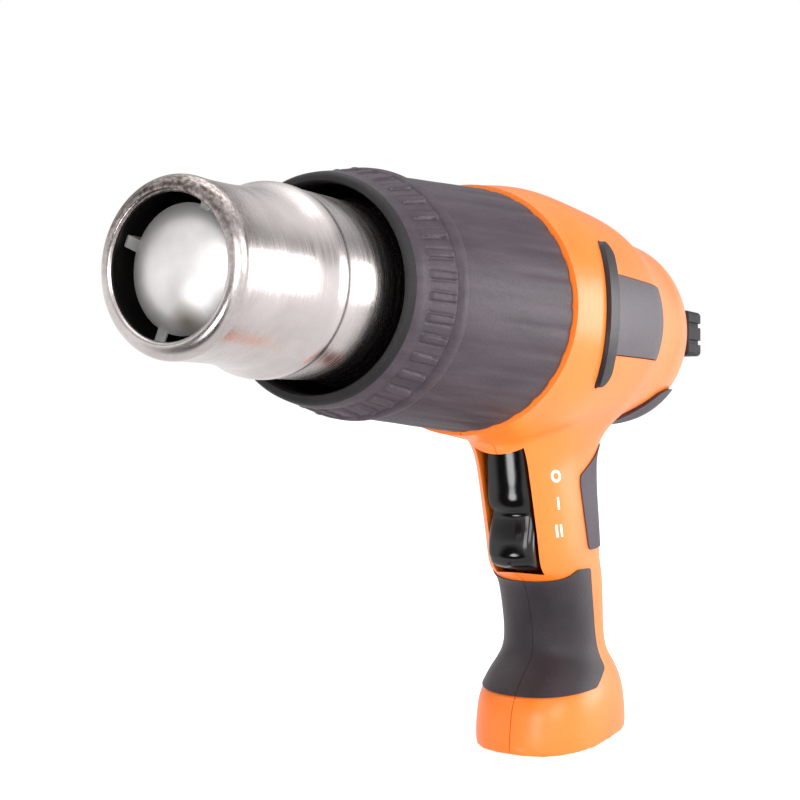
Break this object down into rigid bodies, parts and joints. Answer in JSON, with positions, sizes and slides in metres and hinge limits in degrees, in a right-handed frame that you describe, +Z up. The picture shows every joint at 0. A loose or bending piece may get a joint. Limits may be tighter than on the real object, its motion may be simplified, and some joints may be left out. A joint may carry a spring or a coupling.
{
  "type": "heat gun",
  "caption": "Hand-held hot-air gun with a steel nozzle, a lift-off heat guard, a rocker switch in the handle, and its heater, fan and motor inside.",
  "frame": {"origin": "middle of the bounding box's base, on the surface that the handle's flat base stands on", "axes": "+Z up, -X the way the nozzle points, +Y the tool's right side"},
  "size_m": [0.2686, 0.0754, 0.1673],
  "materials": {
    "orange_shell": "satin orange nylon",
    "dark_plate": "satin dark grey plastic",
    "soft_grip": "soft black elastomer with a fine grain",
    "soft_pad": "soft dark grey elastomer",
    "black_rubber": "matt black rubber",
    "black_plastic": "matt black heat-resistant nylon",
    "nozzle_steel": "stainless steel brushed round its axis",
    "dome_steel": "satin stainless steel",
    "mica": "pale brown mica board",
    "resistance_wire": "dull nickel-chrome wire",
    "ceramic": "matt cream ceramic",
    "tinned_brass": "tinned brass",
    "zinc_steel": "zinc-plated steel",
    "cream_plastic": "matt cream high-temperature plastic",
    "magnet": "dark grey ferrite",
    "bronze": "sintered bronze",
    "copper": "enamelled copper",
    "carbon": "graphite",
    "board": "paper-based circuit board",
    "capacitor_case": "yellow plastic case",
    "gloss_black": "polished black plastic",
    "wire_blue": "blue wire insulation",
    "wire_brown": "brown wire insulation"
  },
  "bodies": {
    "tool": {"housing_left": "orange_shell", "housing_right": "orange_shell", "side_plate_left": "dark_plate", "side_plate_right": "dark_plate", "grip_left": "soft_grip", "grip_right": "soft_grip", "rear_pad_left": "soft_pad", "rear_pad_right": "soft_pad", "rear_foot": "soft_pad", "rear_bumper": "black_rubber", "nozzle_tube": "nozzle_steel", "deflector": "dome_steel", "mica_sleeve": "mica", "heater_frame": "mica", "heating_coil": "resistance_wire", "heater_plate": "ceramic", "heater_terminal_1": "tinned_brass", "heater_terminal_2": "tinned_brass", "heater_terminal_3": "tinned_brass", "thermal_cutout": "zinc_steel", "air_guide": "cream_plastic", "motor_mount": "black_plastic", "motor_can": "zinc_steel", "motor_magnet_left": "magnet", "motor_magnet_right": "magnet", "motor_end_cap": "cream_plastic", "front_bush": "bronze", "rear_bush": "bronze", "motor_brush_left": "carbon", "motor_brush_right": "carbon", "rectifier_board": "board", "noise_capacitor": "capacitor_case", "rocker_pin": "zinc_steel", "switch_body": "black_plastic", "cord_inlet": "black_rubber", "cord_clamp": "black_plastic", "clamp_screw_left": "zinc_steel", "clamp_screw_right": "zinc_steel", "supply_wire_left": "wire_blue", "supply_wire_right": "wire_brown", "heater_wire_left": "wire_blue", "heater_wire_right": "wire_brown", "housing_screw_1": "zinc_steel", "housing_screw_2": "zinc_steel", "housing_screw_3": "zinc_steel", "housing_screw_4": "zinc_steel", "housing_screw_5": "zinc_steel", "housing_screw_6": "zinc_steel", "nozzle_screw_1": "zinc_steel", "nozzle_screw_2": "zinc_steel", "nozzle_screw_3": "zinc_steel"},
    "rotor": {"fan_impeller": "black_plastic", "motor_shaft": "zinc_steel", "armature_core": "zinc_steel", "armature_winding_front": "copper", "armature_winding_rear": "copper", "commutator": "copper"},
    "rocker": {"switch_rocker": "gloss_black"},
    "shroud": {"heat_shroud": "black_plastic"}
  },
  "joints": [
    {"name": "rotor_spin", "type": "hinge", "parent": "tool", "child": "rotor", "pos_m": [0.02825, 0, 0.13], "axis": [1, 0, 0], "continuous": true},
    {"name": "rocker_tilt", "type": "hinge", "parent": "tool", "child": "rocker", "pos_m": [0.03085, 0, 0.0762], "axis": [0, -1, 0], "range_deg": [0, 19]},
    {"name": "shroud_pull", "type": "slide", "parent": "tool", "child": "shroud", "axis": [-1, 0, 0], "range_m": [0, 0.125]}
  ]
}
